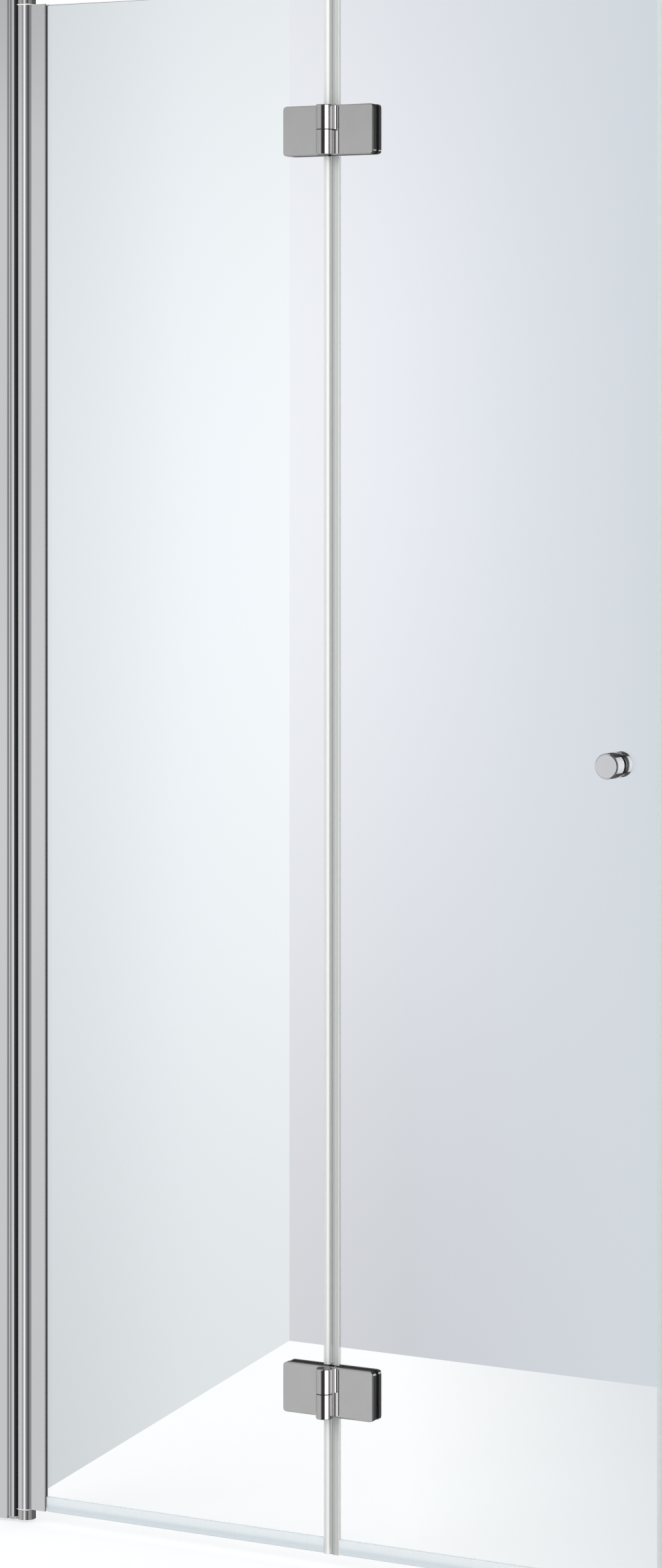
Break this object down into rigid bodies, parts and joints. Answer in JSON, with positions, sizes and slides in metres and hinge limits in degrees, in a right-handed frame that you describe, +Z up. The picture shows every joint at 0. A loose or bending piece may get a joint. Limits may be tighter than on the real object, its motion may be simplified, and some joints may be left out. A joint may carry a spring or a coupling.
{
  "type": "bifold shower door",
  "caption": "Frameless bifold shower door: two clear glass leaves on a wall pivot profile and glass-to-glass hinges, with soft seals and a round knob.",
  "frame": {"origin": "on the wall face of the wall profile, at its foot, in the middle plane of the closed glass", "axes": "+X from the wall to the free edge of the closed door, +Y from the outside to the inside of the shower, +Z up"},
  "size_m": [0.935, 0.048, 1.9035],
  "materials": {
    "polished_profile": "bright polished and anodised, chrome look",
    "chrome_hardware": "mirror chrome on cast zinc or brass",
    "stainless_steel": "bright machined",
    "black_seal": "matt black soft seal",
    "bearing_plastic": "off-white bearing plastic",
    "clear_seal": "clear flexible extrusion",
    "safety_glass": "clear toughened glass with a greenish edge"
  },
  "bodies": {
    "wall": {"lip_seal_outer": "black_seal", "lip_seal_inner": "black_seal", "wall_profile": "polished_profile", "pivot_carrier": "polished_profile", "profile_cap": "chrome_hardware", "profile_lock_screws": "stainless_steel", "pivot_block_bottom": "chrome_hardware", "pivot_block_top": "chrome_hardware", "pivot_pin_bottom": "stainless_steel", "pivot_pin_top": "stainless_steel", "block_screws": "stainless_steel"},
    "leaf_1": {"pivot_profile": "polished_profile", "pivot_bush_bottom": "bearing_plastic", "pivot_bush_top": "bearing_plastic", "glazing_gasket": "black_seal", "glass_1": "safety_glass", "centre_seal_1": "clear_seal", "drip_seal_1": "clear_seal", "hinge_plate_1_lower": "chrome_hardware", "hinge_plate_1_upper": "chrome_hardware", "hinge_back_1_lower": "chrome_hardware", "hinge_back_1_upper": "chrome_hardware", "hinge_gaskets_1": "black_seal", "hinge_screws_1": "stainless_steel", "hinge_pin_lower": "stainless_steel", "hinge_pin_upper": "stainless_steel", "knuckle_washers": "black_seal"},
    "leaf_2": {"glass_2": "safety_glass", "centre_seal_2": "clear_seal", "drip_seal_2": "clear_seal", "free_edge_seal": "clear_seal", "hinge_plate_2_lower": "chrome_hardware", "hinge_plate_2_upper": "chrome_hardware", "hinge_back_2_lower": "chrome_hardware", "hinge_back_2_upper": "chrome_hardware", "hinge_gaskets_2": "black_seal", "hinge_screws_2": "stainless_steel", "knob_outer": "chrome_hardware", "knob_inner": "chrome_hardware", "knob_bolt": "stainless_steel", "knob_washers": "black_seal"}
  },
  "joints": [
    {"name": "wall_pivot", "type": "hinge", "parent": "wall", "child": "leaf_1", "pos_m": [0.044, 0, 0.95], "axis": [0, 0, 1], "range_deg": [0, 90]},
    {"name": "fold", "type": "hinge", "parent": "leaf_1", "child": "leaf_2", "pos_m": [0.4855, -0.02, 0.95], "axis": [0, 0, 1], "range_deg": [-180, 0]}
  ]
}
